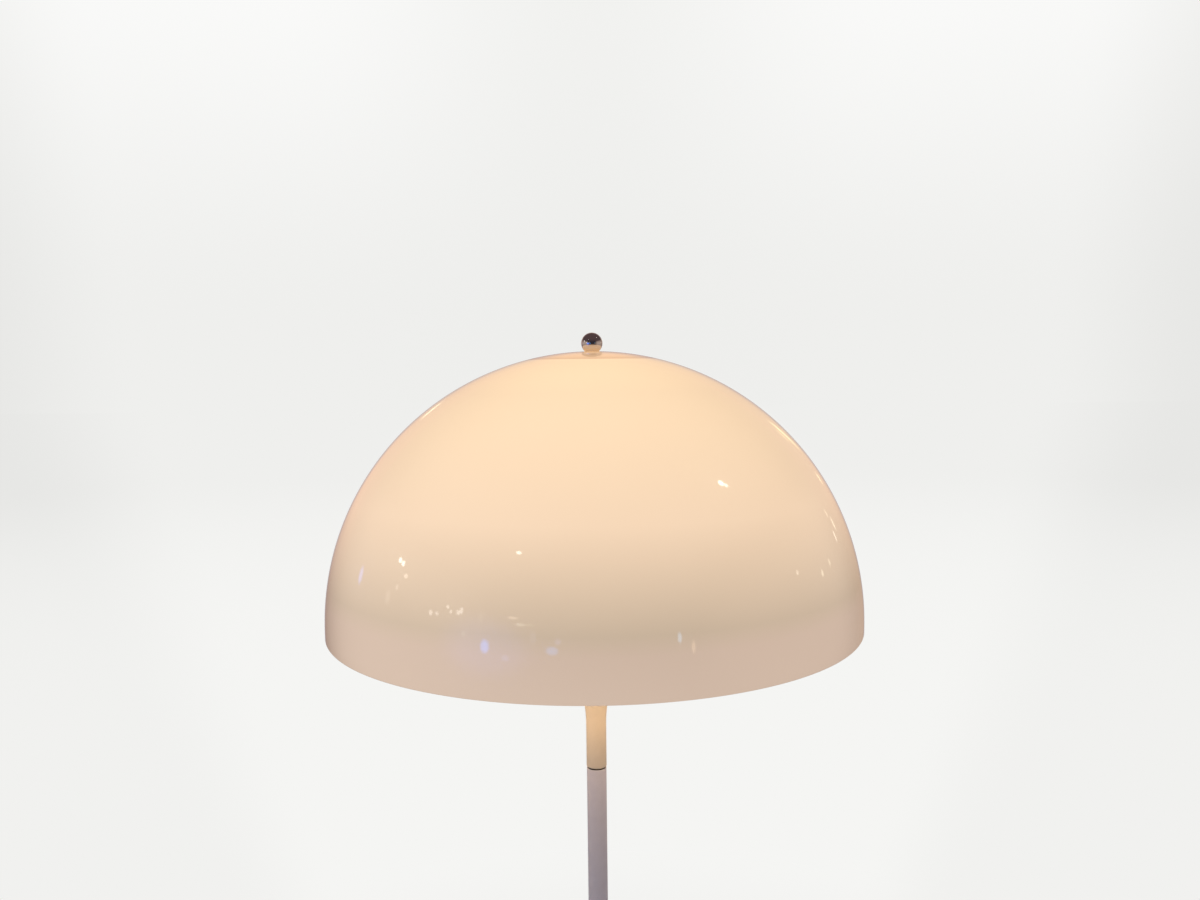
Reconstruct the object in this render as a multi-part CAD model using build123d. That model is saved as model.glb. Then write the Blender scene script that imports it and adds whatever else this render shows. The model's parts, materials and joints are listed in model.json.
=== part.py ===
"""Mushroom floor lamp: an opal dome with a chrome ball finial, on a pale grey stem with a trumpet head.

Units are millimetres and +Z is up. The origin is on the floor, at the middle of the foot.
The front of the lamp faces -Y, and the cord inlet is at the rear, on +Y.
"""

import math
import os

from build123d import *

# ---- Fits ----
running_gap = 0.05         # radial gap of a pin, thread or spigot in its bore
loose_gap = 0.4            # gap round plates and covers that drop into place

# ---- Shade: half an ellipsoid of opal plastic above a short straight skirt ----
rim_height = 1032.2
shade_radius = 250.0
dome_height = 246.4
skirt_height = 8.8
shade_wall = 3.2
rim_rounding = 1.2
crown_boss_radius = 20.0
crown_boss_depth = 1.2     # flat boss under the crown, measured down from the inner crown
crown_recess_radius = 9.0
crown_recess_depth = 1.0   # flat seat for the finial, sunk in the outer crown

# ---- Finial and the stud that holds the shade ----
finial_radius = 10.0
finial_foot_radius = 6.5
finial_washer_thickness = 0.8
stud_radius = 3.0
stud_engagement = 9.0      # length of stud inside the finial
stud_tail = 2.0            # stud showing under its lower nut
finial_hole_end = 1.5      # space left above the stud inside the finial
stud_hole_gap = 0.3        # gap of the shade's hole round the stud
stud_nut_flats = 10.0
stud_nut_height = 5.0
seat_pad_thickness = 1.5
collar_length = 34.0
collar_radius = 7.0
collar_flange_radius = 18.0
collar_flange_thickness = 2.5

# ---- Carrier: a round plate on three rods above the bulb ----
carrier_thickness = 2.5
carrier_margin = 14.0      # plate outside the circle of rods
carrier_edge_rounding = 0.8
rod_count = 3
rod_radius = 2.5
rod_inset = 6.6            # rods inside the wall of the head's mouth
rod_nut_flats = 8.0
rod_nut_height = 4.0
rod_end = 1.5              # rod showing past its top nut

# ---- Stem head: a trumpet that carries the lampholder and the rods ----
joint_below_rim = 146.2
joint_gap = 1.6            # dark ring between the stem and its head
head_radius = 9.7
head_wall = 2.4
flare_below_rim = 103.2
flare_radius = 120.0
flare_angle = 44.0
lip_radius = 20.0
lip_height = 10.0
flange_width = 13.0        # inner flange of the mouth, tapped for the rods
flange_height = 9.0
plate_recess = 7.0         # underside of the head plate below the mouth
plate_thickness = 2.5
head_edge_rounding = 0.4

# ---- Stem ----
stem_radius = 9.5
stem_wall = 1.5
coupler_depth = 30.0       # coupler inside the stem
coupler_rise = 17.0        # coupler inside the head
coupler_radius = 7.0
coupler_collar_radius = 8.0
joint_ring_radius = 8.95
lead_bore_radius = 4.5     # way for the lead through the coupler and the stud of the stem

# ---- Base: a trumpet shell over a cast ballast, closed by a plate on a felt ring ----
base_radius = 140.0
base_edge_height = 26.0
base_edge_rounding = 8.0
base_flare_height = 190.0
base_neck_height = 12.0
base_neck_wall = 1.6
shell_wall = 2.5
shell_clearance = 4.0      # bottom edge of the shell above the floor
foot_ring_height = 3.5
foot_ring_width = 13.0
foot_ring_inset = 9.0
base_plate_thickness = 2.0
base_plate_inset = 1.5
ballast_inset = 17.5       # room round the iron for the inner flange of the gland
ballast_edge_height = 9.5
ballast_edge_width = 32.0  # level edge outside the cone
hub_radius = 26.0
hub_height = 44.5
hub_pocket_radius = 18.0
hub_floor = 14.0           # iron left between the pocket and the foot of the stem
channel_width = 26.0
channel_height = 14.5

# ---- Fasteners of the base ----
stem_stud_radius = 7.0
stem_stud_rise = 30.0      # stud pressed into the stem
stem_stud_tail = 1.5       # stud showing under its nut
stem_washer_radius = 16.0
stem_washer_thickness = 2.5
stem_nut_flats = 22.0
stem_nut_height = 8.0
shell_screw_count = 3
shell_screw_inset = 20.0   # screws inside the edge of the ballast
shell_screw_radius = 2.5
shell_screw_head_radius = 4.25
shell_screw_head_height = 5.0
shell_screw_grip = 7.0
shell_boss_radius = 6.0
plate_screw_count = 4
plate_screw_inset = 60.0   # screws inside the edge of the ballast
plate_screw_radius = 2.0
plate_screw_head_radius = 3.6
plate_screw_head_height = 2.1
plate_screw_grip = 9.0

# ---- Wiring ----
gland_height = 13.0
gland_bore_radius = 3.4
gland_body_radius = 5.0
gland_flange_radius = 6.5
gland_flange_thickness = 2.0
gland_length = 14.0
gland_mouth_radius = 4.4   # the outer end of the bore opens as a cone, so that the cord may bend
gland_mouth_depth = 6.0
gland_seat_depth = 0.4
lead_radius = 2.9
lead_bend_radius = 18.0
block_width = 24.0
block_depth = 16.0
block_height = 12.0
block_inset = 45.5         # middle of the terminal block inside the wall of the shell
block_poles = 3
block_pole_pitch = 7.5
block_wire_radius = 1.6
block_screw_radius = 1.4
block_screw_rows = 9.0
block_screw_depth = 4.0
block_screw_sink = 1.0

# ---- Lampholder for a 27 mm screw cap ----
nipple_radius = 5.0
nipple_bore_radius = 3.5
nipple_tail = 8.0
nipple_nut_flats = 14.0
nipple_nut_height = 3.5
nipple_washer_radius = 9.0
nipple_washer_thickness = 1.0
holder_radius = 20.0
holder_wall = 2.4
holder_cap_height = 18.0
holder_cap_taper = 11.0
holder_cap_floor = 3.5
holder_cap_foot_radius = 10.0
holder_shell_height = 32.0
holder_lip_height = 2.5
holder_mouth_radius = 14.4
insert_flange_radius = 18.6
insert_flange_thickness = 1.8
insert_height = 9.0
liner_radius = 14.0
liner_wall = 0.5
liner_height = 18.0
liner_foot_radius = 16.5
liner_foot_thickness = 0.6
contact_width = 5.0
contact_thickness = 0.5
contact_rise = 1.9
contact_reach = 9.0

# ---- Bulb with a 27 mm screw cap ----
bulb_radius = 30.0
bulb_length = 105.0        # from the tip of the contact to the top of the glass
bulb_glass = 0.8
bulb_tip_gap = 0.3         # gap between the bulb's tip and the holder's contact
bulb_cap_radius = 13.2
bulb_cap_wall = 0.4
bulb_cap_thread_depth = 0.7
bulb_cap_threads = 4
bulb_cap_pitch = 3.6
bulb_cap_chamfer = 2.4
bulb_cap_margin = 0.6      # plain cap between the ridges and the end of the glass
bulb_contact_radius = 4.8
bulb_contact_thickness = 1.4
bulb_insulator_height = 3.0
bulb_insulator_radius = 10.6
bulb_neck_radius = 12.6
bulb_neck_seat = 5.0       # glass neck inside the cap
bulb_neck_height = 2.0     # straight neck above the cap

# ---- Levels and radii that follow ----
equator = rim_height + skirt_height
outer_crown = equator + dome_height
inner_crown = outer_crown - shade_wall
crown_boss_level = inner_crown - crown_boss_depth
finial_washer_level = outer_crown - crown_recess_depth
finial_foot_level = finial_washer_level + finial_washer_thickness
finial_centre = finial_foot_level + math.sqrt(finial_radius**2 - finial_foot_radius**2)
stud_top = finial_foot_level + stud_engagement
collar_top = crown_boss_level - seat_pad_thickness
collar_low = collar_top - collar_length
carrier_top = collar_low - stud_nut_height
carrier_low = carrier_top - carrier_thickness

joint_height = rim_height - joint_below_rim
head_low = joint_height + joint_gap / 2
stem_top = joint_height - joint_gap / 2
flare_low = rim_height - flare_below_rim
flare_rise = math.sin(math.radians(flare_angle))
flare_spread = 1 - math.cos(math.radians(flare_angle))
lip_low = flare_low + (flare_radius + lip_radius) * flare_rise
mouth_level = lip_low + lip_height
mouth_radius = head_radius + (flare_radius + lip_radius) * flare_spread
mouth_bore = mouth_radius - head_wall
rod_circle = mouth_bore - rod_inset
head_plate_low = mouth_level - plate_recess
head_plate_top = head_plate_low + plate_thickness
stem_bore = stem_radius - stem_wall

base_plate_low = foot_ring_height
base_plate_top = base_plate_low + base_plate_thickness
base_bore = base_radius - shell_wall
base_edge_centre = base_radius - base_edge_rounding
base_neck_radius = stem_radius + running_gap + base_neck_wall
base_shoulder = base_edge_height - base_edge_rounding
ballast_radius = base_bore - ballast_inset
ballast_shoulder_radius = ballast_radius - ballast_edge_width
ballast_edge_top = base_plate_top + ballast_edge_height
shell_screw_circle = ballast_radius - shell_screw_inset
plate_screw_circle = ballast_radius - plate_screw_inset
stem_foot = base_plate_top + hub_height
hub_pocket_top = stem_foot - hub_floor
stem_nut_low = hub_pocket_top - stem_washer_thickness - stem_nut_height
stem_stud_low = stem_nut_low - stem_stud_tail
lead_level = base_plate_top + block_height / 2
block_distance = base_bore - block_inset
block_front = block_distance - block_depth / 2

holder_shell_low = head_plate_top + holder_cap_height
holder_shell_top = holder_shell_low + holder_shell_height
insert_top = holder_shell_low + insert_height
bulb_tip = insert_top + contact_rise + bulb_tip_gap
bulb_cap_low = bulb_tip + bulb_contact_thickness + bulb_insulator_height
bulb_cap_height = bulb_cap_chamfer + bulb_cap_threads * bulb_cap_pitch + bulb_cap_margin + bulb_neck_seat
bulb_cap_top = bulb_cap_low + bulb_cap_height
bulb_centre = bulb_tip + bulb_length - bulb_radius


# ---- Helpers ----
def turn(*lines):
    """Solid of revolution about the Z axis, of a closed outline of radius and height."""
    outline = make_face([edge for line in lines for edge in line.edges()])
    return revolve(Plane.XZ * outline, Axis.Z)


def oval(centre, across, along, start, size):
    """Arc of an ellipse, of which the half widths may have any order."""
    return Pos(*centre) * scale(CenterArc((0, 0), 1, start, size), by=(across, along, 1))


def rod(radius, low, high):
    """Upright cylinder between two heights."""
    return Pos(0, 0, low) * Cylinder(radius, high - low, align=(Align.CENTER, Align.CENTER, Align.MIN))


def ring(outer, inner, low, high):
    """Upright tube or washer between two heights."""
    return rod(outer, low, high) - rod(inner, low, high)


def nut(flats, height, bore, low):
    """Hexagon nut with its corners bevelled at both faces."""
    corner = flats / math.sqrt(3)
    hexagon = extrude(RegularPolygon(corner, 6), height)
    blank = chamfer(rod(corner, 0, height).edges(), (corner - flats / 2) * 0.8)
    return Pos(0, 0, low) * (hexagon & blank - rod(bore, 0, height))


def around(piece, radius, count, start=0.0):
    """Equal copies of a piece, evenly spaced on a circle about the Z axis."""
    return Part() + [place * piece for place in PolarLocations(radius, count, start)]


def at_rear(piece, height):
    """A piece made along +Z, laid along +Y at a height."""
    return Pos(0, 0, height) * (Rot(-90, 0, 0) * piece)


# ---- Base ----
def base_trumpet(wall, low):
    """Filled trumpet of the base, drawn in by a wall from the outside."""
    edge = base_edge_rounding - wall
    rim = base_radius - wall
    across = base_edge_centre - base_neck_radius + wall
    along = base_flare_height - base_edge_height + wall
    neck = base_edge_centre - across
    return turn(
        Polyline((0, low), (rim, low), (rim, base_shoulder)),
        CenterArc((base_edge_centre, base_shoulder), edge, 0, 90),
        oval((base_edge_centre, base_flare_height), across, along, 270, -90),
        Polyline((neck, base_flare_height), (0, base_flare_height), (0, low)),
    )


def base_shell():
    """Cast trumpet with a neck for the stem, screw bosses inside and a seat for the gland."""
    neck_top = base_flare_height + base_neck_height
    blank = base_trumpet(0, shell_clearance) + rod(base_neck_radius, base_flare_height, neck_top)
    hollow = base_trumpet(shell_wall, shell_clearance - 1)
    boss = rod(shell_boss_radius, ballast_edge_top, base_edge_height + shell_screw_grip)
    bosses = around(boss, shell_screw_circle, shell_screw_count, 30) & blank
    shell = blank - hollow + bosses - rod(stem_radius + running_gap, 0, neck_top)
    tapped = rod(shell_screw_radius, 0, ballast_edge_top + shell_screw_grip + 1)
    shell -= around(tapped, shell_screw_circle, shell_screw_count, 30)
    shell -= at_rear(rod(gland_body_radius + running_gap, 0, base_radius), gland_height)
    seat_low = base_radius - gland_seat_depth
    return shell - at_rear(rod(gland_flange_radius + loose_gap, seat_low, base_radius), gland_height)


def ballast():
    """Cast iron weight with a hub under the stem and a channel for the lead at the rear."""
    low = base_plate_top
    body = turn(
        Polyline(
            (0, low),
            (ballast_radius, low),
            (ballast_radius, ballast_edge_top),
            (ballast_shoulder_radius, ballast_edge_top),
            (hub_radius, stem_foot),
            (0, stem_foot),
            (0, low),
        )
    )
    body -= rod(hub_pocket_radius, low, hub_pocket_top)
    body -= rod(stem_stud_radius + running_gap, low, stem_foot)
    channel = Box(channel_width, base_radius, channel_height, align=(Align.CENTER, Align.MIN, Align.MIN))
    body -= Pos(0, 0, low) * channel
    head_room = rod(shell_screw_head_radius + loose_gap, low, low + shell_screw_head_height + loose_gap)
    shank_room = rod(shell_screw_radius + loose_gap, low, ballast_edge_top)
    body -= around(head_room + shank_room, shell_screw_circle, shell_screw_count, 30)
    tapped = rod(plate_screw_radius, low, low + plate_screw_grip)
    return body - around(tapped, plate_screw_circle, plate_screw_count, 45)


def base_plate():
    """Steel cover under the ballast."""
    plate = rod(base_bore - base_plate_inset, base_plate_low, base_plate_top)
    hole = rod(plate_screw_radius + running_gap, base_plate_low, base_plate_top)
    return plate - around(hole, plate_screw_circle, plate_screw_count, 45)


def foot_ring():
    """Felt ring that the lamp stands on."""
    outer = base_radius - foot_ring_inset
    return ring(outer, outer - foot_ring_width, 0, foot_ring_height)


def shell_screws():
    """Cap screws that hold the shell down on the ballast."""
    head_top = base_plate_top + loose_gap + shell_screw_head_height
    head = rod(shell_screw_head_radius, base_plate_top + loose_gap, head_top)
    shank = rod(shell_screw_radius - running_gap, head_top, ballast_edge_top + shell_screw_grip)
    socket_radius = shell_screw_head_radius / 2
    socket = extrude(RegularPolygon(socket_radius, 6), shell_screw_head_height / 2)
    screw = head + shank - Pos(0, 0, base_plate_top + loose_gap) * socket
    return around(screw, shell_screw_circle, shell_screw_count, 30)


def plate_screws():
    """Slotted screws that hold the bottom plate."""
    head_low = base_plate_low - plate_screw_head_height
    head = rod(plate_screw_head_radius, head_low, base_plate_low)
    shank = rod(plate_screw_radius - running_gap, base_plate_low, base_plate_top + plate_screw_grip - 1)
    slot_depth = plate_screw_head_height / 2
    slot = Box(3 * plate_screw_head_radius, plate_screw_head_radius / 4, slot_depth)
    screw = head + shank - Pos(0, 0, head_low + slot_depth / 2) * slot
    return around(screw, plate_screw_circle, plate_screw_count, 45)


def stem_stud():
    """Hollow threaded stud pressed into the foot of the stem."""
    pressed = rod(stem_bore - running_gap, stem_foot, stem_foot + stem_stud_rise)
    threaded = rod(stem_stud_radius, stem_stud_low, stem_foot)
    return pressed + threaded - rod(lead_bore_radius, stem_stud_low, stem_foot + stem_stud_rise)


def stem_washer():
    """Broad washer between the hub and the nut of the stem."""
    low = hub_pocket_top - stem_washer_thickness
    return ring(stem_washer_radius, stem_stud_radius + running_gap, low, hub_pocket_top)


def stem_nut():
    """Nut that clamps the stem to the ballast."""
    return nut(stem_nut_flats, stem_nut_height, stem_stud_radius + running_gap, stem_nut_low)


# ---- Stem and head ----
def lower_stem():
    """Steel tube from the hub up to the dark joint."""
    tube = ring(stem_radius, stem_bore, stem_foot, stem_top)
    top_edge = tube.edges().group_by(Axis.Z)[-1].sort_by(SortBy.RADIUS)[-1]
    return fillet(top_edge, head_edge_rounding)


def joint_coupler():
    """Hollow spigot that the stem and its head plug on to."""
    lower = rod(stem_bore - running_gap, stem_top - coupler_depth, stem_top)
    collar = rod(coupler_collar_radius, stem_top, head_low)
    upper = rod(coupler_radius - running_gap, head_low, head_low + coupler_rise)
    way = rod(lead_bore_radius, stem_top - coupler_depth, head_low + coupler_rise)
    return lower + collar + upper - way


def joint_ring():
    """Black ring that shows as the dark line of the joint."""
    return ring(joint_ring_radius, coupler_collar_radius + running_gap, stem_top, head_low)


def head_trumpet(wall, low, high):
    """Filled trumpet of the head, drawn in by a wall from the outside."""
    start = head_radius - wall
    flare = flare_radius + wall
    lip = lip_radius - wall
    centre = head_radius + flare_radius
    lip_centre = mouth_radius - lip_radius
    return turn(
        Polyline((0, low), (start, low), (start, flare_low)),
        CenterArc((centre, flare_low), flare, 180, -flare_angle),
        CenterArc((lip_centre, lip_low), lip, -flare_angle, flare_angle),
        Polyline((lip_centre + lip, lip_low), (lip_centre + lip, high), (0, high), (0, low)),
    )


def stem_head():
    """Cast trumpet with an inner flange, tapped for the rods, under its mouth."""
    blank = head_trumpet(0, head_low, mouth_level)
    hollow = head_trumpet(head_wall, head_low - 1, mouth_level + 1)
    flange_bore = mouth_bore - flange_width
    flange = ring(mouth_radius, flange_bore, head_plate_low - flange_height, head_plate_low)
    foot = ring(head_radius, coupler_radius, head_low, head_low + coupler_rise)
    head = blank - hollow + (flange & blank) + foot
    head -= around(rod(rod_radius, 0, head_plate_low), rod_circle, rod_count, 90)
    lip_edges = head.edges().group_by(Axis.Z)[-1]
    head = fillet(lip_edges, head_edge_rounding)
    low_edge = head.edges().group_by(Axis.Z)[0].sort_by(SortBy.RADIUS)[-1]
    return fillet(low_edge, head_edge_rounding)


def head_plate():
    """Steel plate in the mouth of the head, under the lampholder."""
    plate = rod(mouth_bore - loose_gap, head_plate_low, head_plate_top)
    plate -= rod(nipple_radius + running_gap, head_plate_low, head_plate_top)
    hole = rod(rod_radius + running_gap, head_plate_low, head_plate_top)
    return plate - around(hole, rod_circle, rod_count, 90)


# ---- Carrier ----
def carrier_rods():
    """Three rods from the head's flange up to the carrier plate."""
    low = head_plate_low - flange_height + rod_end
    high = carrier_top + rod_nut_height + rod_end
    return around(rod(rod_radius - running_gap, low, high), rod_circle, rod_count, 90)


def rod_nut(low):
    """Nut of one rod."""
    return nut(rod_nut_flats, rod_nut_height, rod_radius, low)


def rod_foot_nuts():
    """Nuts that clamp the head plate round the rods."""
    return around(rod_nut(head_plate_top), rod_circle, rod_count, 90)


def carrier_nuts():
    """Nuts under and over the carrier plate."""
    pair = rod_nut(carrier_low - rod_nut_height) + rod_nut(carrier_top)
    return around(pair, rod_circle, rod_count, 90)


def carrier_plate():
    """Round plate above the bulb, whose shadow darkens the crown of the shade."""
    plate = rod(rod_circle + carrier_margin, carrier_low, carrier_top)
    plate = fillet(plate.edges(), carrier_edge_rounding)
    plate -= rod(stud_radius + running_gap, carrier_low, carrier_top)
    hole = rod(rod_radius + running_gap, carrier_low, carrier_top)
    return plate - around(hole, rod_circle, rod_count, 90)


def carrier_stud():
    """Threaded stud from the carrier plate up into the finial."""
    return rod(stud_radius, carrier_low - stud_nut_height - stud_tail, stud_top)


def stud_nuts():
    """Nuts that lock the stud to the carrier plate."""
    bore = stud_radius + running_gap
    lower = nut(stud_nut_flats, stud_nut_height, bore, carrier_low - stud_nut_height)
    upper = nut(stud_nut_flats, stud_nut_height, bore, carrier_top)
    return Part() + [lower, upper]


def seat_collar():
    """Sleeve with a broad flange that carries the crown of the shade."""
    sleeve = rod(collar_radius, collar_low, collar_top)
    flange = rod(collar_flange_radius, collar_top - collar_flange_thickness, collar_top)
    return sleeve + flange - rod(stud_radius + running_gap, collar_low, collar_top)


def seat_pad():
    """Soft washer between the collar and the shade."""
    return ring(collar_flange_radius, stud_radius + stud_hole_gap, collar_top, crown_boss_level)


# ---- Shade and finial ----
def dome(wall, low):
    """Filled dome, drawn in by a wall from the outside."""
    across = shade_radius - wall
    along = dome_height - wall
    return turn(
        Polyline((0, low), (across, low), (across, equator)),
        oval((0, equator), across, along, 0, 90),
        Line((0, equator + along), (0, low)),
    )


def shade():
    """Opal dome with a flat boss under its crown and a shallow seat on top."""
    shell = dome(0, rim_height) - dome(shade_wall, rim_height - 1)
    shell = fillet(shell.edges().group_by(Axis.Z)[0], rim_rounding)
    shell += rod(crown_boss_radius, crown_boss_level, inner_crown)
    shell -= rod(crown_recess_radius, finial_washer_level, outer_crown + 1)
    return shell - rod(stud_radius + stud_hole_gap, crown_boss_level, outer_crown)


def finial_washer():
    """Thin soft washer under the finial."""
    inner = stud_radius + stud_hole_gap
    return ring(finial_foot_radius, inner, finial_washer_level, finial_foot_level)


def finial():
    """Turned ball with a flat foot and a blind hole for the stud."""
    ball = Pos(0, 0, finial_centre) * Sphere(finial_radius)
    ball -= rod(finial_radius, finial_centre - finial_radius, finial_foot_level)
    hole = rod(stud_radius + running_gap, finial_foot_level, stud_top + finial_hole_end)
    return ball - hole


# ---- Lampholder ----
def holder_nipple():
    """Hollow threaded nipple that the lampholder screws on to."""
    high = head_plate_top + holder_cap_floor
    return ring(nipple_radius, nipple_bore_radius, head_plate_low - nipple_tail, high)


def nipple_washer():
    """Washer under the head plate."""
    low = head_plate_low - nipple_washer_thickness
    return ring(nipple_washer_radius, nipple_radius + running_gap, low, head_plate_low)


def nipple_nut():
    """Nut that clamps the lampholder to the head plate."""
    low = head_plate_low - nipple_washer_thickness - nipple_nut_height
    return nut(nipple_nut_flats, nipple_nut_height, nipple_radius + running_gap, low)


def holder_cap():
    """Tapered lower cap of the lampholder."""
    low = head_plate_top
    bore = nipple_radius + running_gap
    inner = holder_radius - holder_wall
    return turn(
        Polyline(
            (bore, low),
            (holder_cap_foot_radius, low),
            (holder_radius, low + holder_cap_taper),
            (holder_radius, holder_shell_low),
            (inner, holder_shell_low),
            (inner, low + holder_cap_taper),
            (holder_cap_foot_radius, low + holder_cap_floor),
            (bore, low + holder_cap_floor),
            (bore, low),
        )
    )


def holder_insert():
    """Ceramic block that carries the contacts, its flange held between cap and shell."""
    flange_top = holder_shell_low + insert_flange_thickness
    flange = rod(insert_flange_radius, holder_shell_low, flange_top)
    body = rod(holder_radius - holder_wall - loose_gap, flange_top, insert_top)
    wire_hole = rod(lead_radius / 2, holder_shell_low, insert_top)
    wire_circle = contact_reach + lead_radius
    return flange + body - around(wire_hole, wire_circle, 2, 90)


def holder_shell():
    """Upper sleeve of the lampholder with a turned-in mouth."""
    bore = holder_radius - holder_wall
    groove_top = holder_shell_low + insert_flange_thickness + loose_gap
    sleeve = ring(holder_radius, bore, holder_shell_low, holder_shell_top)
    sleeve -= rod(insert_flange_radius + running_gap, holder_shell_low, groove_top)
    lip_low_level = holder_shell_top - holder_lip_height
    sleeve += ring(holder_radius, holder_mouth_radius, lip_low_level, holder_shell_top)
    return fillet(sleeve.edges().group_by(Axis.Z)[-1], holder_lip_height / 4)


def holder_liner():
    """Brass sleeve that takes the screw cap of the bulb."""
    foot = rod(liner_foot_radius, insert_top, insert_top + liner_foot_thickness)
    sleeve = rod(liner_radius, insert_top, insert_top + liner_height)
    return foot + sleeve - rod(liner_radius - liner_wall, insert_top, insert_top + liner_height)


def centre_contact():
    """Brass tongue that meets the tip of the bulb."""
    top = insert_top + contact_rise
    half = contact_reach / 2
    strip = Polyline(
        (-contact_reach, insert_top),
        (-half, insert_top),
        (-half / 2, top - contact_thickness),
        (half, top - contact_thickness),
        (half, top),
        (-half / 2 - contact_thickness / 2, top),
        (-half - contact_thickness / 2, insert_top + contact_thickness),
        (-contact_reach, insert_top + contact_thickness),
        (-contact_reach, insert_top),
    )
    face = Plane.YZ * make_face(strip.edges())
    return extrude(face, contact_width / 2, both=True)


# ---- Bulb ----
def bulb_contact():
    """Tip of the bulb's cap."""
    disc = rod(bulb_contact_radius, bulb_tip, bulb_tip + bulb_contact_thickness)
    low_edge = disc.edges().group_by(Axis.Z)[0]
    return fillet(low_edge, bulb_contact_thickness / 2)


def bulb_insulator():
    """Black glass cone between the tip and the cap."""
    low = bulb_tip + bulb_contact_thickness
    return turn(
        Polyline(
            (0, low),
            (bulb_contact_radius, low),
            (bulb_insulator_radius, bulb_cap_low),
            (0, bulb_cap_low),
            (0, low),
        )
    )


def bulb_cap():
    """Screw cap with rounded ridges, open at the top for the glass."""
    blank = rod(bulb_cap_radius, bulb_cap_low, bulb_cap_top)
    blank = chamfer(blank.edges().group_by(Axis.Z)[0], bulb_cap_chamfer)
    groove_radius = (bulb_cap_pitch**2 / 16 + bulb_cap_thread_depth**2) / (2 * bulb_cap_thread_depth)
    groove_circle = bulb_cap_radius - bulb_cap_thread_depth + groove_radius
    for turn_number in range(bulb_cap_threads):
        level = bulb_cap_low + bulb_cap_chamfer + bulb_cap_pitch * (turn_number + 0.75)
        blank -= Pos(0, 0, level) * Torus(groove_circle, groove_radius)
    floor = bulb_cap_low + bulb_cap_wall
    pocket_radius = bulb_cap_radius - bulb_cap_thread_depth - bulb_cap_wall
    pocket = rod(pocket_radius, floor + bulb_cap_chamfer, bulb_cap_top)
    socket_low = bulb_cap_top - bulb_neck_seat
    socket = rod(bulb_neck_radius + running_gap, socket_low, bulb_cap_top)
    return blank - pocket - socket


def bulb_body(wall, low):
    """Filled pear shape of the bulb, drawn in by a wall from the outside."""
    neck_top = bulb_cap_top + bulb_neck_height
    rise = bulb_centre - neck_top
    spread = bulb_neck_radius**2 + rise**2 - bulb_radius**2
    waist_radius = spread / (2 * (bulb_radius - bulb_neck_radius))
    lean = math.degrees(math.atan2(rise, bulb_neck_radius + waist_radius))
    neck = bulb_neck_radius - wall
    globe = bulb_radius - wall
    return turn(
        Polyline((0, low), (neck, low), (neck, neck_top)),
        CenterArc((bulb_neck_radius + waist_radius, neck_top), waist_radius + wall, 180, -lean),
        CenterArc((0, bulb_centre), globe, -lean, 90 + lean),
        Line((0, bulb_centre + globe), (0, low)),
    )


def bulb_globe():
    """Frosted glass of the bulb, open inside the cap."""
    low = bulb_cap_top - bulb_neck_seat
    return bulb_body(0, low) - bulb_body(bulb_glass, low - 1)


# ---- Wiring ----
def cord_gland():
    """Rubber bush at the rear of the base, whose bore takes the mains cord."""
    outside = base_radius - gland_seat_depth
    end = outside + gland_flange_thickness
    body = rod(gland_body_radius, end - gland_length, end)
    flange = rod(gland_flange_radius, outside, end)
    inner_end = base_bore - loose_gap
    inner = rod(gland_flange_radius - loose_gap, inner_end - gland_flange_thickness, inner_end)
    mouth_low = end - gland_mouth_depth
    mouth = turn(
        Polyline(
            (0, mouth_low),
            (gland_bore_radius, mouth_low),
            (gland_mouth_radius, end),
            (0, end),
            (0, mouth_low),
        )
    )
    bush = body + flange + inner - rod(gland_bore_radius, end - gland_length, end) - mouth
    return at_rear(bush, gland_height)


def terminal_block():
    """Nylon block where the mains cord meets the lead of the lamp."""
    block = Pos(0, block_distance, lead_level) * Box(block_width, block_depth, block_height)
    for pole in range(block_poles):
        x = (pole - (block_poles - 1) / 2) * block_pole_pitch
        block -= Pos(x, block_distance, lead_level) * Rot(90, 0, 0) * Cylinder(block_wire_radius, block_depth)
        for y in (-block_screw_rows / 2, block_screw_rows / 2):
            well = rod(block_screw_radius + running_gap, lead_level, base_plate_top + block_height)
            block -= Pos(x, block_distance + y, 0) * well
    return block


def terminal_screws():
    """Small screws down in the wells of the terminal block."""
    high = base_plate_top + block_height - block_screw_sink
    screw = rod(block_screw_radius, high - block_screw_depth, high)
    places = [
        Pos((pole - (block_poles - 1) / 2) * block_pole_pitch, block_distance + y, 0)
        for pole in range(block_poles)
        for y in (-block_screw_rows / 2, block_screw_rows / 2)
    ]
    return Part() + [place * screw for place in places]


def stem_lead():
    """Lead of the lamp, from the terminal block through the stem to the lampholder."""
    top = head_plate_top + holder_cap_taper
    foot = Edge.make_line((0, block_front, lead_level), (0, lead_bend_radius, lead_level))
    bend = Plane.YZ * CenterArc((lead_bend_radius, lead_level + lead_bend_radius), lead_bend_radius, 270, -90)
    rise = Edge.make_line((0, 0, lead_level + lead_bend_radius), (0, 0, top))
    section = Plane((0, block_front, lead_level), z_dir=(0, -1, 0)) * Circle(lead_radius)
    return sweep(section, Wire([foot, bend.edge(), rise]))


PIECES = [
    base_shell,
    ballast,
    base_plate,
    foot_ring,
    shell_screws,
    plate_screws,
    stem_stud,
    stem_washer,
    stem_nut,
    lower_stem,
    joint_coupler,
    joint_ring,
    stem_head,
    head_plate,
    carrier_rods,
    rod_foot_nuts,
    carrier_nuts,
    carrier_plate,
    carrier_stud,
    stud_nuts,
    seat_collar,
    seat_pad,
    shade,
    finial_washer,
    finial,
    holder_nipple,
    nipple_washer,
    nipple_nut,
    holder_cap,
    holder_insert,
    holder_shell,
    holder_liner,
    centre_contact,
    bulb_contact,
    bulb_insulator,
    bulb_cap,
    bulb_globe,
    cord_gland,
    terminal_block,
    terminal_screws,
    stem_lead,
]

os.makedirs("parts", exist_ok=True)
for piece in PIECES:
    export_step(piece(), f"parts/{piece.__name__}.step")
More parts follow.
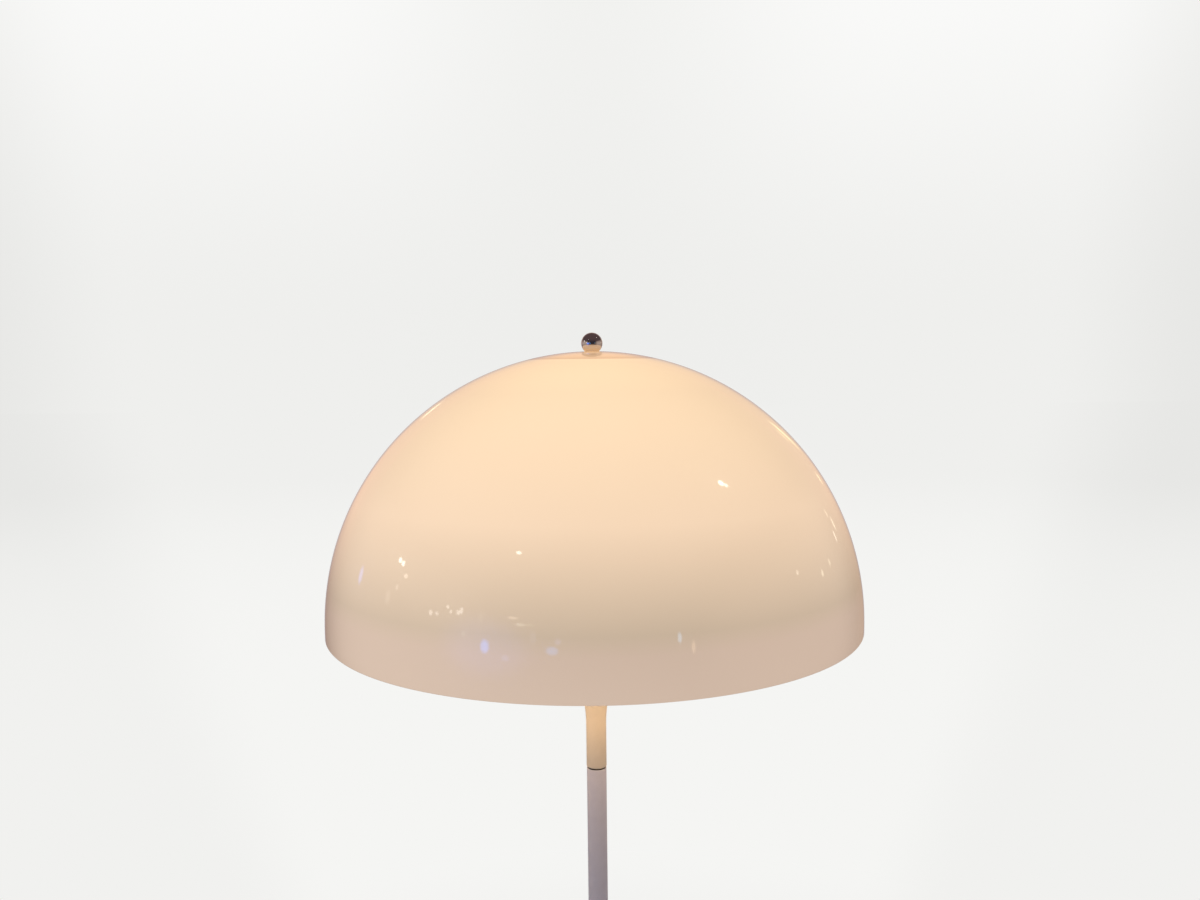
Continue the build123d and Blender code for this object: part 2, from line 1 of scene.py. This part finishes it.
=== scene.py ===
"""Looks of the mushroom floor lamp: a lit opal dome and a chrome ball on a trumpet head and stem.

Units are metres and +Z is up, as in the part. The camera looks at the dome along +Y.
"""

import json
import math

import bpy
from mathutils import Matrix, Vector


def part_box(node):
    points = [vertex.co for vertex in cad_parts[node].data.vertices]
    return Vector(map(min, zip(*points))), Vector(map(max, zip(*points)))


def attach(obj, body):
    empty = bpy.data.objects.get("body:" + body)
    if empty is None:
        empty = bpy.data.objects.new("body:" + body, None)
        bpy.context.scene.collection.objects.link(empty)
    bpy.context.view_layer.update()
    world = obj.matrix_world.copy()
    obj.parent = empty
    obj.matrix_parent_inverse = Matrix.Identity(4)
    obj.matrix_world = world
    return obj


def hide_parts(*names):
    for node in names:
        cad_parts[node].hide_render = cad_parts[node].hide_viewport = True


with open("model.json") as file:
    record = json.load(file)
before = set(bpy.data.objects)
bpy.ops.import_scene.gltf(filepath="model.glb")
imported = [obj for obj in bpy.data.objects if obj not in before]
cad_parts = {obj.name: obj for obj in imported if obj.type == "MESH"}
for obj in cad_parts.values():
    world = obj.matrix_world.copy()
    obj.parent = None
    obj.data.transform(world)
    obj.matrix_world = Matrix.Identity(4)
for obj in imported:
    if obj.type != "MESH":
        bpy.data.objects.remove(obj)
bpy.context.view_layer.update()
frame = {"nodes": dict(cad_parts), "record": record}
mm = 0.001

# ---- Sizes of the turned pieces, as in the part ----
skirt_height = 8.8 * mm
shade_wall = 3.2 * mm
rim_rounding = 1.2 * mm
crown_boss_radius = 20.0 * mm
crown_boss_depth = 1.2 * mm
crown_recess_radius = 9.0 * mm
crown_recess_depth = 1.0 * mm
stud_hole_radius = 3.3 * mm
finial_hole_radius = 3.05 * mm
finial_hole_depth = 10.5 * mm
head_wall = 2.4 * mm
head_bore_radius = 7.0 * mm
head_bore_length = 17.0 * mm
head_radius = 9.7 * mm
head_flare_low = 929.0 * mm
head_flare_radius = 120.0 * mm
head_flare_angle = math.radians(44.0)
head_lip_radius = 20.0 * mm
head_flange_width = 13.0 * mm
head_flange_height = 9.0 * mm
head_flange_sink = 7.0 * mm
stem_wall = 1.5 * mm
edge_rounding = 0.4 * mm

# ---- Where the camera stands, from the perspective of the photograph ----
camera_place = (0.0, -0.9434, 1.2732)
camera_lens = 30.0
camera_turn = math.radians(-0.40)
camera_pitch = math.radians(-4.784)
camera_roll = math.radians(-0.626)


def colour(red, green, blue):
    """Linear colour of a tone that is written as it shows on a screen, from 0 to 255."""
    tones = [tone / 255 for tone in (red, green, blue)]
    linear = [t / 12.92 if t <= 0.04045 else ((t + 0.055) / 1.055) ** 2.4 for t in tones]
    return (*linear, 1.0)


# ---- Shader maths ----
class Socket:
    """An output of a shader node. Sums that are written with it add their Math nodes.

    Without a link it stands for the tree alone, as the start of its first node.
    """

    def __init__(self, tree, link=None):
        self.tree = tree
        self.link = link

    def node(self, kind, settings=None, inputs=None, output=0):
        """A new node: its settings are set first, then the values or links of its inputs."""
        made = self.tree.nodes.new("ShaderNode" + kind)
        for name, value in (settings or {}).items():
            if name == "stops":
                set_stops(made.color_ramp, value)
            else:
                setattr(made, name, value)
        for name, value in (inputs or {}).items():
            if isinstance(value, Socket):
                self.tree.links.new(value.link, made.inputs[name])
            else:
                made.inputs[name].default_value = value
        if made.outputs:
            return Socket(self.tree, made.outputs[output])

    def math(self, operation, *values):
        return self.node("Math", {"operation": operation}, dict(enumerate(values)))

    def __add__(self, other):
        return self.math("ADD", self, other)

    def __radd__(self, other):
        return self.math("ADD", other, self)

    def __sub__(self, other):
        return self.math("SUBTRACT", self, other)

    def __rsub__(self, other):
        return self.math("SUBTRACT", other, self)

    def __mul__(self, other):
        return self.math("MULTIPLY", self, other)

    def __rmul__(self, other):
        return self.math("MULTIPLY", other, self)

    def absolute(self):
        return self.math("ABSOLUTE", self)

    def part(self, axis):
        """One of the three parts of a vector: 0 for X, 1 for Y, 2 for Z."""
        return self.node("SeparateXYZ", None, {"Vector": self}, axis)

    def vector(self, operation, *others, output=0):
        """A sum on vectors."""
        inputs = dict(enumerate((self, *others)))
        return self.node("VectorMath", {"operation": operation}, inputs, output)

    def length(self):
        return self.vector("LENGTH", output=1)

    def distance_to(self, point):
        return self.vector("DISTANCE", point, output=1)

    def ramp(self, low, high):
        """0 at low, 1 at high, smooth between them."""
        inputs = {"Value": self, "From Min": low, "From Max": high}
        return self.node("MapRange", {"interpolation_type": "SMOOTHSTEP"}, inputs)

    def share(self, low, high):
        """0 at low, 1 at high, in a straight line between them."""
        return self.node("MapRange", None, {"Value": self, "From Min": low, "From Max": high})

    def tones(self, stops):
        """Colour from a ramp of (place, colour) stops."""
        return self.node("ValToRGB", {"stops": stops}, {"Fac": self})

    def mix(self, none, all_of_it):
        """Blend of two colours by this value."""
        return self.node("Mix", {"data_type": "RGBA"}, {0: self, 6: none, 7: all_of_it}, 2)


def set_stops(ramp, stops):
    """Gives a colour ramp its stops."""
    while len(ramp.elements) < len(stops):
        ramp.elements.new(1.0)
    for element, (place, tone) in zip(ramp.elements, stops):
        element.position = place
        element.color = tone


def noise(place, scale, detail=3.0):
    """Fine irregular pattern, from 0 to 1."""
    return place.node("TexNoise", None, {"Vector": place, "Scale": scale, "Detail": detail})


def finish(name, constants, make):
    """A material. Its constants go on the shader's own sockets, and make links what varies."""
    material = bpy.data.materials.new(name)
    material.use_nodes = True
    tree = material.node_tree
    shader = tree.nodes["Principled BSDF"]
    for socket, value in constants.items():
        shader.inputs[socket].default_value = value
    place = Socket(tree).node("TexCoord", output="Object")
    for socket, value in make(place).items():
        tree.links.new(value.link, shader.inputs[socket])
    return material


def bump(place, height, distance, strength):
    """Normal of a surface with this height pattern."""
    inputs = {"Height": height, "Distance": distance, "Strength": strength}
    return place.node("Bump", None, inputs)


# ---- Finishes ----
def plain(name, tone, roughness, grain, depth, metal=0.0, gloss=0.0, spread=0.06):
    """A finish with one tone, slightly uneven in tone, gloss and height."""

    def make(place):
        fine = noise(place, grain)
        broad = noise(place, grain / 12)
        darker = (*[channel * (1 - spread) for channel in tone], 1.0)
        lighter = (*[channel * (1 + spread) for channel in tone], 1.0)
        return {
            "Base Color": (0.5 * fine + 0.5 * broad).ramp(0.3, 0.7).mix(darker, lighter),
            "Roughness": roughness + 0.12 * roughness * (broad - 0.5),
            "Normal": bump(place, fine, depth, 0.4),
        }

    return finish(name, {"Metallic": metal, "Coat Weight": gloss}, make)


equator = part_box("shade")[0].z + skirt_height
shade_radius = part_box("shade")[1].x
crown_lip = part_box("shade")[1].z


# Glow of the dome from its rim up: height above the equator in millimetres, and light
dome_glow = [
    (-9, (0.38, 0.26, 0.19)),
    (25, (0.36, 0.24, 0.17)),
    (40, (0.32, 0.22, 0.13)),
    (115, (0.68, 0.47, 0.29)),
    (210, (0.81, 0.56, 0.31)),
    (236, (0.95, 0.66, 0.35)),
]
carrier_shadow_radius = 61.5 * mm
carrier_shadow_fade = 14.0 * mm
shadow_edge_glow = (0.62, 0.34, 0.13, 1.0)
shadow_middle_glow = (0.78, 0.45, 0.20, 1.0)


def opal_outside():
    """Outside of the lit dome: a glow that follows the height, under a clear gloss.

    Round the crown the carrier plate throws a round shadow, darkest at its edge.
    """
    low, high = dome_glow[0][0], dome_glow[-1][0]
    stops = [((height - low) / (high - low), (*light, 1.0)) for height, light in dome_glow]

    def make(place):
        height = place.part(2) - equator
        beside = place.vector("MULTIPLY", (1, 1, 0)).length() - carrier_shadow_radius
        glow = height.share(low * mm, high * mm).tones(stops)
        shadow = beside.ramp(0.0, -carrier_shadow_fade).mix(shadow_edge_glow, shadow_middle_glow)
        glow = beside.ramp(0.5 * mm, -0.5 * mm).mix(glow, shadow)
        return {
            "Base Color": noise(place, 9).mix(colour(176, 166, 154), colour(182, 172, 160)),
            "Emission Color": glow,
            "Roughness": 0.30 + 0.06 * noise(place, 40),
        }

    constants = {"Emission Strength": 1.0, "Coat Weight": 1.0, "Coat Roughness": 0.03}
    return finish("opal_outside", constants, make)


inside_low_glow = (0.36, 0.25, 0.16, 1.0)
inside_high_glow = (0.54, 0.41, 0.27, 1.0)


def opal_inside():
    """Inside of the lit dome, brighter than its outside."""

    def make(place):
        height = place.part(2) - equator
        return {
            "Base Color": noise(place, 9).mix(colour(206, 200, 190), colour(212, 206, 196)),
            "Emission Color": height.ramp(0.0, 0.2).mix(inside_low_glow, inside_high_glow),
            "Roughness": 0.35 + 0.06 * noise(place, 40),
        }

    return finish("opal_inside", {"Emission Strength": 1.0}, make)


neck_glow = (0.86, 0.62, 0.38, 1.0)
bulb_glow = (1.0, 0.84, 0.60, 1.0)


def frosted_glass():
    """Lit glass of the bulb, brightest at its middle."""
    middle = (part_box("bulb_globe")[0].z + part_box("bulb_globe")[1].z) / 2

    def make(place):
        height = place.part(2) - middle
        return {
            "Base Color": noise(place, 30).mix(colour(236, 230, 220), colour(242, 236, 226)),
            "Emission Color": height.ramp(-0.05, 0.02).mix(neck_glow, bulb_glow),
            "Roughness": 0.40 + 0.10 * noise(place, 120),
        }

    return finish("frosted_glass", {"Emission Strength": 1.2}, make)


# Name of the slot: tone, roughness, grain for each metre, and height of the grain
plain_finishes = {
    "chrome": ((0.62, 0.60, 0.60), 0.035, 60, 0.00001, {"metal": 1.0, "spread": 0.02}),
    "ivory_paint": ((0.40, 0.33, 0.275), 0.42, 900, 0.00005, {"gloss": 0.1, "spread": 0.03}),
    # Stem and base: a grey-lilac tone, darker than their pale white paint, that stands in for the
    # dim light falling on them: painted shade
    "stone_paint": ((0.306, 0.290, 0.360), 0.55, 1400, 0.00006, {"spread": 0.04}),
    "white_paint": ((0.78, 0.76, 0.72), 0.50, 1400, 0.00006, {"spread": 0.04}),
    "zinc_steel": ((0.60, 0.61, 0.62), 0.34, 700, 0.00004, {"metal": 1.0}),
    "cast_iron": ((0.050, 0.050, 0.054), 0.72, 420, 0.0003, {"spread": 0.25}),
    "felt": ((0.040, 0.040, 0.043), 0.95, 1600, 0.0004, {"spread": 0.35}),
    "black_rubber": ((0.022, 0.019, 0.018), 0.65, 800, 0.00005, {"spread": 0.15}),
    "clear_silicone": ((0.62, 0.60, 0.56), 0.40, 500, 0.00003, {}),
    "white_thermoplastic": ((0.76, 0.74, 0.69), 0.36, 500, 0.00003, {}),
    "glazed_ceramic": ((0.80, 0.78, 0.73), 0.20, 300, 0.00004, {"gloss": 0.5}),
    "brass": ((0.75, 0.50, 0.20), 0.28, 600, 0.00003, {"metal": 1.0}),
    "black_glass": ((0.010, 0.010, 0.012), 0.12, 200, 0.00002, {"gloss": 0.5}),
    "plated_cap": ((0.68, 0.68, 0.69), 0.26, 500, 0.00003, {"metal": 1.0}),
    "nylon": ((0.72, 0.71, 0.66), 0.48, 500, 0.00004, {}),
    "white_sheath": ((0.74, 0.74, 0.72), 0.46, 500, 0.00004, {}),
}
finishes = {"opal_plastic": opal_outside(), "frosted_glass": frosted_glass()}
for name, (tone, roughness, grain, depth, more) in plain_finishes.items():
    finishes[name] = plain(name, tone, roughness, grain, depth, **more)
inside_finish = opal_inside()


# ---- Turning ----
def arc(centre, radii, start, end, steps):
    """Points of a round stretch of an outline, as (radius, height), both ends included."""
    points = []
    for step in range(steps + 1):
        angle = start + (end - start) * step / steps
        radius = centre[0] + radii[0] * math.cos(angle)
        points.append((radius, centre[1] + radii[1] * math.sin(angle)))
    return points


def turn(name, outline, around=128):
    """A turned piece: a vertex is drawn along the outline, and the outline is spun about Z."""
    bpy.ops.object.select_all(action="DESELECT")
    speck = 0.01 * mm
    start = outline[0]
    bpy.ops.mesh.primitive_plane_add(size=speck, location=(start[0], 0, start[1]))
    piece = bpy.context.object
    piece.name = name
    bpy.ops.object.mode_set(mode="EDIT")
    bpy.ops.mesh.merge(type="CENTER")
    for before, after in zip(outline, outline[1:]):
        step = (after[0] - before[0], 0, after[1] - before[1])
        bpy.ops.mesh.extrude_region_move(TRANSFORM_OT_translate={"value": step})
    bpy.ops.mesh.select_all(action="SELECT")
    bpy.ops.mesh.remove_doubles(threshold=speck)
    bpy.ops.mesh.spin(steps=around, angle=2 * math.pi, center=(0, 0, 0), axis=(0, 0, 1))
    bpy.ops.mesh.select_all(action="SELECT")
    bpy.ops.mesh.remove_doubles(threshold=speck)
    bpy.ops.mesh.normals_make_consistent(inside=False)
    bpy.ops.object.mode_set(mode="OBJECT")
    bpy.ops.object.transform_apply(location=True, rotation=True, scale=True)
    bpy.ops.object.shade_smooth_by_angle(angle=math.radians(30))
    return piece


def settle(piece, body, slot, *nodes):
    """Gives a piece its finish, its body and the nodes that it stands for."""
    if not piece.data.materials:
        piece.data.materials.append(finishes[slot])
    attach(piece, body)
    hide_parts(*nodes)
    return piece


# ---- Pieces ----
def opal_dome():
    """One-piece dome with a skirt, a rounded rim, a boss under the crown and a seat on top."""
    rim = equator - skirt_height
    lip_share = math.sqrt(1 - (crown_recess_radius / shade_radius) ** 2)
    outer_height = (crown_lip - equator) / lip_share
    inner_radius = shade_radius - shade_wall
    inner_height = outer_height - shade_wall
    outer_end = math.acos(crown_recess_radius / shade_radius)
    inner_start = math.acos(crown_boss_radius / inner_radius)
    boss_level = equator + inner_height - crown_boss_depth
    seat_level = equator + outer_height - crown_recess_depth
    outer_rim = (shade_radius - rim_rounding, rim + rim_rounding)
    inner_rim = (inner_radius + rim_rounding, rim + rim_rounding)
    rounding = (rim_rounding, rim_rounding)
    outline = arc(inner_rim, rounding, math.pi, 1.5 * math.pi, 6)
    outline += arc(outer_rim, rounding, -math.pi / 2, 0, 6)
    outline += arc((0, equator), (shade_radius, outer_height), 0, outer_end, 120)
    outline += [(crown_recess_radius, seat_level), (stud_hole_radius, seat_level)]
    outline += [(stud_hole_radius, boss_level), (crown_boss_radius, boss_level)]
    outline += arc((0, equator), (inner_radius, inner_height), inner_start, 0, 90)
    outline += [outline[0]]
    piece = turn("opal_dome", outline, 256)
    piece.data.materials.append(finishes["opal_plastic"])
    piece.data.materials.append(inside_finish)
    for face in piece.data.polygons:
        across = math.hypot(face.center.x, face.center.y) / (shade_radius - shade_wall / 2)
        up = max(face.center.z - equator, 0) / (outer_height - shade_wall / 2)
        if math.hypot(across, up) < 1:
            face.material_index = 1
    return settle(piece, "shade", "opal_plastic", "shade")


def chrome_ball():
    """Ball on a flat foot, with the blind hole of its stud."""
    low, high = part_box("finial")
    radius = high.x
    centre = high.z - radius
    foot_angle = math.asin((low.z - centre) / radius)
    hole_top = low.z + finial_hole_depth
    outline = [(0, hole_top), (finial_hole_radius, hole_top), (finial_hole_radius, low.z)]
    outline += arc((0, centre), (radius, radius), foot_angle, math.pi / 2, 64)
    return settle(turn("chrome_ball", outline, 128), "finial", "chrome", "finial")


def trumpet_head():
    """Trumpet with an inner flange under its mouth and a bore for the coupler at its foot."""
    low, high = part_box("stem_head")
    mouth = high.x
    lip_low = head_flare_low + (head_flare_radius + head_lip_radius) * math.sin(head_flare_angle)
    flare_centre = (head_radius + head_flare_radius, head_flare_low)
    lip_centre = (mouth - head_lip_radius, lip_low)
    outer_flare = (head_flare_radius, head_flare_radius)
    inner_flare = (head_flare_radius + head_wall, head_flare_radius + head_wall)
    outer_lip = (head_lip_radius, head_lip_radius)
    inner_lip = (head_lip_radius - head_wall, head_lip_radius - head_wall)
    flange_top = high.z - head_flange_sink
    flange_low = flange_top - head_flange_height
    flange_bore = mouth - head_wall - head_flange_width
    edge = (edge_rounding, edge_rounding)
    flare_end = math.pi - head_flare_angle
    reach = math.asin((flange_low - head_flare_low) / inner_flare[0])
    outline = [(head_bore_radius, low.z)]
    outline += arc((head_radius - edge_rounding, low.z + edge_rounding), edge, -math.pi / 2, 0, 4)
    outline += arc(flare_centre, outer_flare, math.pi, flare_end, 48)
    outline += arc(lip_centre, outer_lip, -head_flare_angle, 0, 16)[1:]
    outline += arc((mouth - edge_rounding, high.z - edge_rounding), edge, 0, math.pi / 2, 4)
    outer_bore = mouth - head_wall + edge_rounding
    outline += arc((outer_bore, high.z - edge_rounding), edge, math.pi / 2, math.pi, 4)
    outline += [(mouth - head_wall, flange_top), (flange_bore, flange_top)]
    outline += [(flange_bore, flange_low)]
    outline += arc(flare_centre, inner_flare, math.pi - reach, math.pi, 40)
    bore_top = low.z + head_bore_length
    outline += [(head_radius - head_wall, bore_top), (head_bore_radius, bore_top), outline[0]]
    return settle(turn("trumpet_head", outline, 128), "stand", "ivory_paint", "stem_head")


def stem_tube():
    """Tube of the stem, rounded at its top edge."""
    low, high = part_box("lower_stem")
    radius = high.x
    bore = radius - stem_wall
    edge = (edge_rounding, edge_rounding)
    outline = [(bore, low.z), (radius, low.z)]
    outline += arc((radius - edge_rounding, high.z - edge_rounding), edge, 0, math.pi / 2, 4)
    outline += [(bore, high.z), outline[0]]
    return settle(turn("stem_tube", outline, 96), "stand", "stone_paint", "lower_stem")


opal_dome()
chrome_ball()
trumpet_head()
stem_tube()

for subpart in frame["record"]["subparts"]:
    node = frame["nodes"][subpart["node"]]
    node.material_slots[0].material = finishes[subpart["material_slot"]]


# ---- Camera ----
camera = bpy.data.objects.new("camera", bpy.data.cameras.new("camera"))
bpy.context.scene.collection.objects.link(camera)
camera.data.lens = camera_lens
turned = Matrix.Rotation(camera_turn, 4, "Z")
tilted = Matrix.Rotation(math.pi / 2 + camera_pitch, 4, "X")
rolled = Matrix.Rotation(camera_roll, 4, "Z")
camera.matrix_world = Matrix.Translation(camera_place) @ turned @ tilted @ rolled
bpy.context.scene.camera = camera


# ---- Floor, backdrop and light ----
# Windows and lamps of the room that the glossy dome shows: direction, half width, how much
# taller than wide, and light
bright_spots = [
    ((0.000, 0.932, 0.360), 0.140, 1.9, (0.25, 0.15, 0.05)),
    ((-0.334, 0.920, 0.203), 0.045, 0.4, (1.6, 1.5, 1.0)),
    ((0.691, -0.047, 0.721), 0.026, 1.0, (16.0, 15.0, 13.0)),
    ((0.713, -0.033, 0.701), 0.018, 1.0, (12.0, 11.0, 10.0)),
    ((-0.481, -0.673, 0.561), 0.026, 0.5, (12.0, 11.5, 10.5)),
    ((-0.963, 0.027, 0.267), 0.024, 0.8, (10.0, 9.8, 9.2)),
    ((-0.964, -0.013, 0.264), 0.024, 0.8, (10.0, 9.8, 9.2)),
    ((-0.972, -0.080, 0.218), 0.026, 0.6, (4.5, 4.0, 3.4)),
    ((-0.989, -0.029, 0.143), 0.018, 1.0, (2.0, 1.8, 1.6)),
    ((-0.997, 0.037, 0.072), 0.030, 1.6, (0.9, 0.8, 0.7)),
    ((-0.915, 0.399, 0.057), 0.034, 1.4, (0.3, 0.8, 2.6)),
    ((-0.925, -0.369, 0.093), 0.022, 1.0, (4.5, 4.2, 3.8)),
    ((-0.903, -0.417, 0.099), 0.020, 0.8, (3.5, 3.3, 3.0)),
    ((-0.861, -0.483, 0.156), 0.016, 1.0, (5.0, 4.8, 4.2)),
    ((-0.849, -0.511, 0.133), 0.017, 1.0, (4.5, 4.2, 3.8)),
    ((-0.819, -0.557, 0.138), 0.020, 1.0, (5.0, 4.8, 4.4)),
    ((-0.803, -0.575, 0.154), 0.020, 1.4, (5.0, 4.8, 4.4)),
    ((-0.709, -0.691, 0.141), 0.020, 2.0, (0.9, 0.8, 0.6)),
    ((-0.528, -0.833, 0.166), 0.050, 0.25, (3.2, 2.6, 2.0)),
    ((-0.482, -0.867, 0.128), 0.048, 0.3, (2.2, 2.2, 1.7)),
    ((-0.424, -0.896, 0.131), 0.050, 0.2, (1.0, 1.0, 0.7)),
    ((-0.791, -0.612, 0.018), 0.018, 1.0, (1.2, 1.3, 1.0)),
    ((-0.683, -0.730, -0.038), 0.042, 1.4, (0.0, 2.2, 8.0)),
    ((-0.283, -0.959, -0.031), 0.055, 0.7, (0.0, 1.4, 4.0)),
    ((-0.245, -0.969, 0.031), 0.030, 1.0, (0.6, 0.8, 1.8)),
    ((-0.567, -0.818, -0.098), 0.036, 0.8, (0.4, 0.7, 1.6)),
    ((-0.404, -0.913, 0.052), 0.030, 2.0, (0.4, 0.5, 0.8)),
    ((-0.680, -0.730, -0.040), 0.400, 0.6, (0.12, 0.24, 0.90)),
    ((0.540, -0.841, 0.025), 0.020, 2.4, (1.6, 3.4, 5.0)),
    ((0.616, -0.786, -0.048), 0.018, 3.2, (3.0, 2.2, 1.4)),
    ((0.985, 0.057, 0.165), 0.018, 1.0, (3.4, 3.2, 2.6)),
    ((0.942, 0.328, 0.067), 0.020, 1.0, (2.6, 2.5, 1.8)),
    ((0.889, 0.454, 0.064), 0.014, 1.6, (1.8, 1.7, 1.2)),
    ((0.408, 0.897, 0.165), 0.015, 12.0, (1.9, 1.7, 0.8)),
    ((0.455, 0.864, 0.215), 0.010, 9.0, (1.0, 0.9, 0.4)),
    ((0.484, 0.872, 0.070), 0.018, 1.2, (1.2, 1.1, 0.6)),
    ((0.723, 0.677, 0.136), 0.014, 1.6, (1.2, 1.1, 0.8)),
    ((0.703, 0.707, 0.081), 0.016, 2.0, (1.6, 1.5, 1.1)),
    ((0.752, 0.656, 0.068), 0.014, 2.0, (2.2, 2.1, 1.7)),
]


def seen_directly(first):
    """1 for what the camera sees straight or through glass."""
    straight = first.node("LightPath", output="Is Camera Ray")
    through_glass = first.node("LightPath", output="Is Transmission Ray")
    return first.math("MAXIMUM", straight, through_glass)


# Share of a sideways look at which floor and backdrop turn to the tone of their edges
edge_of_the_backdrop = (0.41, 0.54)


def floor():
    """Plain pale floor with the lamp's shadow. Far off it has just the backdrop's tone."""
    bpy.ops.object.select_all(action="DESELECT")
    bpy.ops.mesh.primitive_plane_add(size=60)
    ground = bpy.context.object
    ground.name = "floor"
    material = bpy.data.materials.new("floor")
    material.use_nodes = True
    tree = material.node_tree
    tree.nodes.clear()
    place = Socket(tree).node("TexCoord", output="Object")
    distance = place.length()
    away = distance.ramp(3, 12)
    middle = away.mix(colour(245, 245, 243), colour(239, 239, 237))
    edges = away.mix(colour(241, 241, 239), colour(231, 231, 229))
    aside = place.vector("NORMALIZE").part(0).absolute()
    backdrop = aside.ramp(*edge_of_the_backdrop).mix(middle, edges)
    lit = place.node("BsdfDiffuse", None, {"Color": (0.84, 0.84, 0.83, 1.0)})
    glow = place.node("Emission", None, {"Color": backdrop, "Strength": 1.0})
    far = (0.45 + 0.55 * distance.ramp(0.4, 1.6)) * seen_directly(place)
    shader = place.node("MixShader", None, {0: far, 1: lit, 2: glow})
    shader.node("OutputMaterial", None, {"Surface": shader})
    ground.data.materials.append(material)
    ground.visible_glossy = False


def room(way):
    """What gloss and metal show: a dim room with a warm wall behind the lamp, windows and lamps."""
    across = way.part(0)
    behind = way.part(1)
    height = 0.5 * way.part(2) + 0.5
    front = height.tones([
        (0.40, (0.10, 0.075, 0.065, 1.0)),
        (0.50, (0.035, 0.034, 0.045, 1.0)),
        (0.62, (0.04, 0.035, 0.045, 1.0)),
        (0.85, (0.12, 0.075, 0.075, 1.0)),
    ])
    left = height.tones([
        (0.34, (0.20, 0.13, 0.11, 1.0)),
        (0.40, (0.26, 0.17, 0.15, 1.0)),
        (0.45, (0.46, 0.31, 0.28, 1.0)),
        (0.52, (0.75, 0.48, 0.38, 1.0)),
        (0.62, (0.55, 0.36, 0.31, 1.0)),
        (0.80, (0.30, 0.19, 0.18, 1.0)),
    ])
    right = height.tones([
        (0.34, (0.48, 0.34, 0.25, 1.0)),
        (0.42, (0.50, 0.35, 0.26, 1.0)),
        (0.52, (0.70, 0.48, 0.37, 1.0)),
        (0.62, (0.55, 0.40, 0.33, 1.0)),
        (0.80, (0.30, 0.19, 0.18, 1.0)),
    ])
    beside = height.tones([
        (0.30, (0.34, 0.25, 0.20, 1.0)),
        (0.50, (0.60, 0.47, 0.40, 1.0)),
        (0.60, (0.50, 0.38, 0.32, 1.0)),
        (0.70, (0.12, 0.08, 0.08, 1.0)),
    ])
    wall = (0.5 * across + 0.5).ramp(0.3, 0.7).mix(left, right)
    shown = across.absolute().ramp(0.55, 0.95).mix(front, beside)
    shown = behind.ramp(0.50, 0.95).mix(shown, wall)
    straight_behind = way.distance_to((0, 0.99, -0.12)).ramp(0.48, 0.32)
    shown = straight_behind.mix(shown, (0.40, 0.34, 0.37, 1.0))
    for (x, y, z), size, tall, light in bright_spots:
        off = way.vector("MULTIPLY", (1, 1, 1 / tall)).distance_to((x, y, z / tall))
        inputs = {0: off.ramp(size, 0.4 * size), 6: shown, 7: (*light, 1.0)}
        shown = way.node("Mix", {"data_type": "RGBA", "blend_type": "ADD"}, inputs, 2)
    return shown


def surroundings():
    """Even soft light, a pale backdrop for the camera, and the room that gloss and metal show."""
    world = bpy.data.worlds.new("studio")
    bpy.context.scene.world = world
    world.use_nodes = True
    tree = world.node_tree
    tree.nodes.clear()
    way = Socket(tree).node("TexCoord", output="Generated")
    glossy = way.node("LightPath", output="Is Glossy Ray")
    soft = way.part(1).ramp(-1.0, 1.0).mix((0.52, 0.52, 0.53, 1.0), (0.86, 0.86, 0.87, 1.0))
    aside = way.part(0).absolute()
    rise = way.part(2).ramp(0.04, 0.40)
    middle = rise.mix(colour(238, 238, 236), colour(242, 242, 240))
    sides = rise.mix(colour(239, 239, 237), colour(251, 251, 250))
    edges = rise.mix(colour(231, 231, 229), colour(240, 240, 238))
    wall = aside.ramp(0.0, 0.28).mix(middle, sides)
    backdrop = aside.ramp(*edge_of_the_backdrop).mix(wall, edges)
    sky = seen_directly(way).mix(glossy.mix(soft, room(way)), backdrop)
    light = way.node("Background", None, {"Color": sky, "Strength": 1.0})
    light.node("OutputWorld", None, {"Surface": light})


def lamp(name, place, look, size, light, power, shape="SQUARE"):
    """A soft lamp that is seen neither directly nor in gloss."""
    data = bpy.data.lights.new(name, "AREA")
    data.shape = shape
    data.size = size
    data.color = light
    data.energy = power
    made = bpy.data.objects.new(name, data)
    bpy.context.scene.collection.objects.link(made)
    made.location = place
    made.rotation_euler = Vector(look).to_track_quat("-Z", "Y").to_euler()
    made.visible_camera = False
    made.visible_glossy = False


floor()
surroundings()
lamp("window", (-2.6, -1.7, 1.8), (2.6, 1.7, -0.8), 1.5, (0.95, 0.98, 1.0), 14)
warm = (1.0, 0.706, 0.354)
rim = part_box("shade")[0].z
lamp("glow_on_the_trumpet", (0, 0, rim - 0.032), (0, 0, -1), 0.24, warm, 0.90, "DISK")
lamp("glow_on_the_lip", (0, 0, rim + 0.002), (0, 0, -1), 0.24, warm, 0.38, "DISK")
bpy.context.scene.view_settings.view_transform = "Standard"
